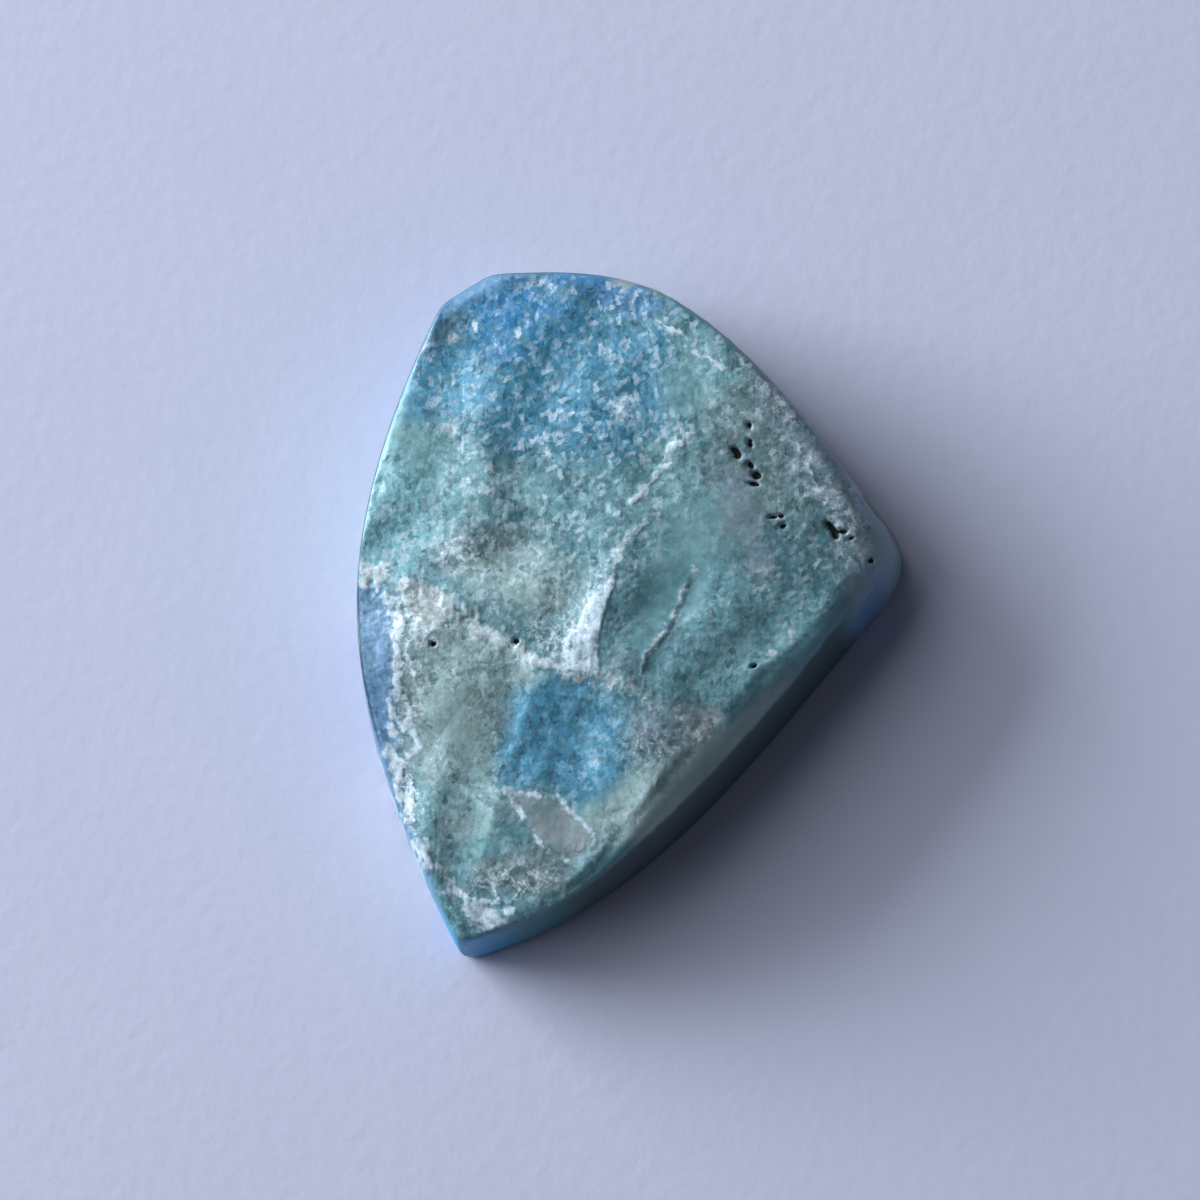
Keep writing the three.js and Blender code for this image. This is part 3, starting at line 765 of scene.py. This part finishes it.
def build_stone():
    points, border, inset, depth = feel_surface()
    masks = relief_and_colour(points, inset, depth)
    data = bpy.data.meshes.new("azurite_surface")
    data.from_pydata((points * MM).tolist(), [], surface_faces(border))
    for name, values in masks.items():
        attribute = data.attributes.new(name, "FLOAT", "POINT")
        attribute.data.foreach_set("value", np.clip(values, 0, 1).astype(np.float32))
    data.polygons.foreach_set("use_smooth", [True] * len(data.polygons))
    data.update()
    stone = bpy.data.objects.new("azurite_surface", data)
    bpy.context.scene.collection.objects.link(stone)
    return stone


# Materials

class Graph:
    """A material's nodes, added by short calls that return the socket to read."""

    def __init__(self, name):
        self.material = bpy.data.materials.new(name)
        self.material.use_nodes = True
        self.tree = self.material.node_tree
        self.shader = self.tree.nodes["Principled BSDF"]

    def feed(self, socket, value):
        if isinstance(value, bpy.types.NodeSocket):
            self.tree.links.new(value, socket)
        else:
            socket.default_value = value

    def mask(self, name):
        node = self.tree.nodes.new("ShaderNodeAttribute")
        node.attribute_name = name
        return node.outputs["Fac"]

    def place(self, sizes, degrees=0.0, shift=0.0):
        """The place in the stone, counted in steps of these sizes along turned axes."""
        node = self.tree.nodes.new("ShaderNodeMapping")
        node.vector_type = "TEXTURE"
        coordinates = self.tree.nodes.new("ShaderNodeTexCoord")
        self.feed(node.inputs["Vector"], coordinates.outputs["Object"])
        node.inputs["Location"].default_value = (shift * MM, -shift * MM, 0.5 * shift * MM)
        node.inputs["Rotation"].default_value = (0, 0, math.radians(degrees))
        node.inputs["Scale"].default_value = [size * MM for size in sizes]
        return node.outputs["Vector"]

    def noise(self, size, detail=3.0, roughness=0.55, shift=0.0):
        node = self.tree.nodes.new("ShaderNodeTexNoise")
        self.feed(node.inputs["Vector"], self.place((size, size, size), 0.0, shift))
        node.inputs["Scale"].default_value = 1.0
        node.inputs["Detail"].default_value = detail
        node.inputs["Roughness"].default_value = roughness
        return node.outputs["Fac"]

    def part(self, colours, name):
        node = self.tree.nodes.new("ShaderNodeSeparateColor")
        self.feed(node.inputs["Color"], colours)
        return node.outputs[name]

    def vector_math(self, operation, a, b):
        node = self.tree.nodes.new("ShaderNodeVectorMath")
        node.operation = operation
        self.feed(node.inputs[0], a)
        self.feed(node.inputs[1], b)
        return node.outputs["Value" if operation == "DOT_PRODUCT" else "Vector"]

    def crooked(self, place, scale, detail, reach):
        """The place shifted by noise, so that straight edges laid out on it turn crooked."""
        wobble = self.tree.nodes.new("ShaderNodeTexNoise")
        self.feed(wobble.inputs["Vector"], place)
        wobble.inputs["Scale"].default_value = scale
        wobble.inputs["Detail"].default_value = detail
        bend = self.vector_math("SUBTRACT", wobble.outputs["Color"], (0.5, 0.5, 0.5))
        return self.vector_math("ADD", place, self.vector_math("MULTIPLY", bend, (reach, reach, reach)))

    def facets(self, width, shift):
        """Crystal faces about width across that each tilt their own way: their height, and a colour."""
        place = self.crooked(self.place((width, width, width), 0.0, shift), 1.3, 2, 0.9)
        cells = self.tree.nodes.new("ShaderNodeTexVoronoi")
        self.feed(cells.inputs["Vector"], place)
        cells.inputs["Scale"].default_value = 1.0
        away = self.vector_math("SUBTRACT", place, cells.outputs["Position"])
        tilt = self.vector_math("SUBTRACT", cells.outputs["Color"], (0.5, 0.5, 0.5))
        return self.vector_math("DOT_PRODUCT", away, tilt), cells.outputs["Color"]

    def lace(self, width, line, shift):
        """Thin crooked lines round lobes about width across: 1 on a line."""
        place = self.crooked(self.place((width, width, width), 0.0, shift), 1.8, 3, 1.4)
        cells = self.tree.nodes.new("ShaderNodeTexVoronoi")
        cells.feature = "DISTANCE_TO_EDGE"
        self.feed(cells.inputs["Vector"], place)
        cells.inputs["Scale"].default_value = 1.0
        return self.span(cells.outputs["Distance"], 1.6 * line, 0.5 * line)

    def blades(self, room, degrees, shift, grit):
        """Straight painted glints in plan, with ragged edges: each has its own room, and some are
        faint.
        """
        cells = self.tree.nodes.new("ShaderNodeTexVoronoi")
        self.feed(cells.inputs["Vector"], self.place((*room, 1.0), degrees, shift))
        cells.inputs["Scale"].default_value = 1.0
        cells.voronoi_dimensions = "2D"
        cells.distance = "CHEBYCHEV"
        away = self.math("ADD", cells.outputs["Distance"], self.span(grit, 0.25, 0.75, -0.12, 0.12))
        shape = self.span(away, BLADE_END, BLADE_FULL)
        bright = self.span(self.part(cells.outputs["Color"], "Red"), 0.4, 0.85)
        return self.math("MULTIPLY", shape, bright)

    def math(self, operation, a, b=0.0):
        node = self.tree.nodes.new("ShaderNodeMath")
        node.operation = operation
        self.feed(node.inputs[0], a)
        self.feed(node.inputs[1], b)
        return node.outputs[0]

    def span(self, value, from_low, from_high, to_low=0.0, to_high=1.0):
        node = self.tree.nodes.new("ShaderNodeMapRange")
        node.interpolation_type = "SMOOTHSTEP"
        self.feed(node.inputs["Value"], value)
        ends = {"From Min": from_low, "From Max": from_high, "To Min": to_low, "To Max": to_high}
        for name, number in ends.items():
            node.inputs[name].default_value = number
        return node.outputs["Result"]

    def mix(self, share, a, b):
        node = self.tree.nodes.new("ShaderNodeMix")
        node.data_type = "RGBA"
        self.feed(node.inputs["Factor"], share)
        self.feed(node.inputs["A"], colour(a))
        self.feed(node.inputs["B"], colour(b))
        return node.outputs["Result"]

    def bump(self, height, distance, strength=1.0, under=None):
        node = self.tree.nodes.new("ShaderNodeBump")
        self.feed(node.inputs["Height"], height)
        node.inputs["Distance"].default_value = distance * MM
        self.feed(node.inputs["Strength"], strength)
        if under is not None:
            self.feed(node.inputs["Normal"], under)
        return node.outputs["Normal"]


def colour(value):
    return (*value, 1.0) if isinstance(value, tuple) and len(value) == 3 else value


DEEP_AND_SHADE = (0.060, 0.170, 0.210)          # the deepest crystals, and the painted shade in the lobes' creases
LIT = (0.260, 0.540, 0.710)           # the lightest crystals
PALE_AND_GLINT = (0.560, 0.740, 0.880)          # veins and crusts, and the painted glints of crystal blades
CREAM = (0.420, 0.520, 0.560)         # the warm crust at the left
OLIVE_HEART = (0.240, 0.360, 0.370)   # lobes inside the warm crust
RIM_WHITE = (0.700, 0.820, 0.900)     # thin rims of the lobes
HEART = (0.070, 0.120, 0.140)         # dark middles of the lobes
STRIP_DEEP = (0.055, 0.170, 0.360)    # the mottled strip at the left
STRIP_LIT = (0.330, 0.520, 0.730)
PIT_SHADE = (0.025, 0.028, 0.030)         # painted shade inside the pits
# the walls' dark tone: partly the rock's own, partly painted shade on the walls that face away from the
# light
WALL_AND_SHADE = (0.038, 0.076, 0.082)
# the stone's teal and blue at the thin tip, brightened by painted light shining through it
TIP_GLOW_TEAL = (0.045, 0.240, 0.280)
TIP_GLOW_BLUE = (0.010, 0.310, 0.620)

FLOOR_TINTS = (0.575, 0.625, 0.825), (0.585, 0.635, 0.835)

LARGE_FACET, SMALL_FACET = 0.42, 0.2      # widths of the crystal facets in the material

# Blades of painted glint: the room each has along and across, the ways they lie, and their reach in it
BLADE_ROOM = (0.8, 0.34)
BLADE_WAYS = (25.0, 52.0, 100.0)
BLADE_FULL, BLADE_END = 0.24, 0.31


def stone_material():
    g = Graph("azurite")
    cloud = g.noise(2.6, 4)
    mottle = g.noise(0.8, 4, 0.65)
    grit = g.noise(0.16, 3, 0.6)
    sugar = g.mask("sugar")

    # Each mineral's edge is broken up by the mottling
    base = g.mix(g.span(cloud, 0.35, 0.65, 0.0, 0.4), HOST, DEEP_AND_SHADE)
    for name, (tint, _) in MINERALS.items():
        blurred = g.math("ADD", g.mask(name), g.span(mottle, 0.25, 0.75, -0.16, 0.16))
        base = g.mix(g.span(blurred, 0.16, 0.84), base, tint)

    # The blue strip at the left is mottled
    strip = g.mask("strip_blue")
    flecks = g.noise(0.3, 4, 0.7, 6.0)
    base = g.mix(g.math("MULTIPLY", strip, g.span(flecks, 0.5, 0.62, 0.0, 0.7)), base, STRIP_DEEP)
    base = g.mix(g.math("MULTIPLY", strip, g.span(flecks, 0.44, 0.34, 0.0, 0.55)), base, STRIP_LIT)

    # Crystal by crystal the colour is a little lighter or deeper
    coarse, coarse_tint = g.facets(LARGE_FACET, 1)
    fine, fine_tint = g.facets(SMALL_FACET, 2)
    tint = g.math("ADD", g.part(coarse_tint, "Blue"), g.part(fine_tint, "Blue"))
    clear = g.mask("clear")
    cloudy = g.math("SUBTRACT", 1.0, g.math("MULTIPLY", clear, 0.8))
    light = g.math("MULTIPLY", g.span(tint, 1.05, 1.8, 0.0, 0.3), g.math("MULTIPLY", sugar, cloudy))
    base = g.mix(light, base, LIT)
    base = g.mix(g.math("MULTIPLY", g.span(tint, 0.95, 0.2, 0.0, 0.62), sugar), base, DEEP_AND_SHADE)
    clouds = g.noise(0.4, 5, 0.75, 9.0)
    base = g.mix(g.math("MULTIPLY", g.span(clouds, 0.52, 0.7, 0.0, 0.2), cloudy), base, LIT)
    base = g.mix(g.span(clouds, 0.46, 0.3, 0.0, 0.3), base, DEEP_AND_SHADE)

    # Painted shade in the creases between the lobes
    base = g.mix(g.math("MULTIPLY", g.mask("shade"), 0.45), base, DEEP_AND_SHADE)

    # Painted glints: bright blades where crystal faces catch the light from the upper left
    blades = None
    for k, degrees in enumerate(BLADE_WAYS):
        field = g.blades(BLADE_ROOM, degrees, 3.0 * k, grit)
        blades = field if blades is None else g.math("MAXIMUM", blades, field)
    blades = g.math("MULTIPLY", blades, g.mask("shine"))
    blades = g.math("MULTIPLY", blades, g.span(mottle, 0.38, 0.58, 0.2, 1.0))
    base = g.mix(g.math("MULTIPLY", blades, 0.75), base, PALE_AND_GLINT)

    # Lobes with dark hearts and bright crooked rims
    lace = g.mask("lace")
    lines = g.math("MULTIPLY", g.lace(0.6, 0.045, 5), g.span(mottle, 0.4, 0.55, 0.0, 1.0))
    hearts = g.span(g.noise(0.3, 4, 0.7, 4.0), 0.46, 0.6)
    base = g.mix(g.math("MULTIPLY", g.math("MULTIPLY", hearts, lace), 0.65), base, HEART)
    base = g.mix(g.math("MULTIPLY", g.math("MULTIPLY", lines, lace), 0.75), base, RIM_WHITE)

    crust = g.mix(g.mask("warm"), PALE_AND_GLINT, CREAM)
    warm_hearts = g.math("MULTIPLY", hearts, g.mask("warm"))
    crust = g.mix(g.math("MULTIPLY", warm_hearts, 0.5), crust, OLIVE_HEART)
    crust = g.mix(g.math("MULTIPLY", lines, 0.85), crust, RIM_WHITE)
    broken = g.math("ADD", g.mask("pale"), g.span(grit, 0.25, 0.75, -0.2, 0.2))
    broken = g.math("ADD", broken, g.span(mottle, 0.25, 0.75, -0.2, 0.2))
    base = g.mix(g.span(broken, 0.25, 0.8), base, crust)

    # The walls: the dark wall tone with painted shade, turning teal towards the tip where painted light
    # shines through
    wall = g.mix(g.mask("tip_glow_teal"), WALL_AND_SHADE, TIP_GLOW_TEAL)
    base = g.mix(g.span(g.mask("wall"), 0.35, 1.0, 0.0, 0.92), base, wall)
    # Painted light shining through the thin tip, in clear blue
    base = g.mix(g.mask("tip_glow_blue"), base, TIP_GLOW_BLUE)
    # Painted shade deep in the pits
    hollow = g.math("ADD", g.mask("dark"), g.span(grit, 0.3, 0.7, -0.22, 0.22))
    base = g.mix(g.span(hollow, 0.42, 0.6), base, PIT_SHADE)
    g.feed(g.shader.inputs["Base Color"], base)

    ground = g.math("MULTIPLY", g.mask("wall"), 0.12)
    rough = g.math("ADD", g.span(mottle, 0.3, 0.7, 0.27, 0.37), ground)
    g.feed(g.shader.inputs["Roughness"], rough)
    g.shader.inputs["IOR"].default_value = 1.5
    g.shader.inputs["Specular IOR Level"].default_value = 0.4

    large = g.bump(g.math("MULTIPLY", coarse, sugar), LARGE_FACET, 0.16)
    small = g.bump(g.math("MULTIPLY", fine, sugar), SMALL_FACET, 0.26, large)
    normal = g.bump(grit, 0.01, 0.4, small)
    g.feed(g.shader.inputs["Normal"], normal)
    return g.material


def floor_material():
    g = Graph("pale_floor")
    shade = g.mix(g.span(g.noise(9, 3), 0.3, 0.7), *FLOOR_TINTS)
    g.feed(g.shader.inputs["Base Color"], shade)
    g.shader.inputs["Roughness"].default_value = 0.7
    g.shader.inputs["Specular IOR Level"].default_value = 0.2
    g.feed(g.shader.inputs["Normal"], g.bump(g.noise(0.7, 4, 0.5), 0.05, 0.35))
    return g.material


# The stage

# Lights: name, azimuth, elevation, distance, side and watts
LIGHTS = [
    ("window", 152, 16, 600, 437, 6.2),
    ("sky", 150, 40, 600, 809, 2.95),
]
DAYLIGHT = (0.98, 0.985, 1.0)
ROOM_LIGHT = (0.80, 0.85, 1.0, 1.0)
ROOM_STRENGTH = 0.07
FLOOR_REACH = 3000


def place_camera():
    lean, rise = math.sin(CAMERA_TILT), math.cos(CAMERA_TILT)
    back = Vector((lean * math.cos(CAMERA_TOWARDS), lean * math.sin(CAMERA_TOWARDS), rise))
    right = Vector((0, 1, 0)).cross(back).normalized()
    up = back.cross(right)
    middle = PHOTO_SIDE / 2
    aside = (TARGET_PIXEL[0] - middle) / PHOTO_SCALE
    below = (TARGET_PIXEL[1] - middle) / PHOTO_SCALE
    aim = Vector(TARGET) - right * aside + up * below
    data = bpy.data.cameras.new("camera")
    data.sensor_width = SENSOR
    data.lens = SENSOR * CAMERA_DISTANCE * PHOTO_SCALE / PHOTO_SIDE
    data.clip_start = 0.01
    camera = bpy.data.objects.new("camera", data)
    axes = Matrix((right, up, back)).transposed().to_4x4()
    camera.matrix_world = Matrix.Translation((aim + back * CAMERA_DISTANCE) * MM) @ axes
    bpy.context.scene.collection.objects.link(camera)
    bpy.context.scene.camera = camera


def place_floor():
    reach = FLOOR_REACH * MM
    data = bpy.data.meshes.new("floor")
    corners = [(-reach, -reach, 0), (reach, -reach, 0), (reach, reach, 0), (-reach, reach, 0)]
    data.from_pydata(corners, [], [(0, 1, 2, 3)])
    data.materials.append(floor_material())
    floor = bpy.data.objects.new("floor", data)
    bpy.context.scene.collection.objects.link(floor)


def soft_light(name, azimuth, elevation, distance, side, watts):
    """A square soft light that faces the stone. Azimuth is counted from +X towards +Y."""
    data = bpy.data.lights.new(name, "AREA")
    data.shape = "SQUARE"
    data.size = side * MM
    data.energy = watts
    data.color = DAYLIGHT
    light = bpy.data.objects.new(name, data)
    a, e = math.radians(azimuth), math.radians(elevation)
    back = Vector((math.cos(e) * math.cos(a), math.cos(e) * math.sin(a), math.sin(e)))
    light.location = back * distance * MM
    light.rotation_mode = "QUATERNION"
    light.rotation_quaternion = back.to_track_quat("Z", "Y")
    light.visible_camera = False
    bpy.context.scene.collection.objects.link(light)


def light_stage():
    """A low window and a wider, higher sky, both from the upper left, in a dim room."""
    for light in LIGHTS:
        soft_light(*light)
    world = bpy.data.worlds.new("room")
    world.use_nodes = True
    background = world.node_tree.nodes["Background"]
    background.inputs["Color"].default_value = ROOM_LIGHT
    background.inputs["Strength"].default_value = ROOM_STRENGTH
    bpy.context.scene.world = world
    bpy.context.scene.view_settings.view_transform = "Standard"


place_camera()
place_floor()
light_stage()

stone = build_stone()
stone.data.materials.append(stone_material())
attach(stone, "root")
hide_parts(NODE)
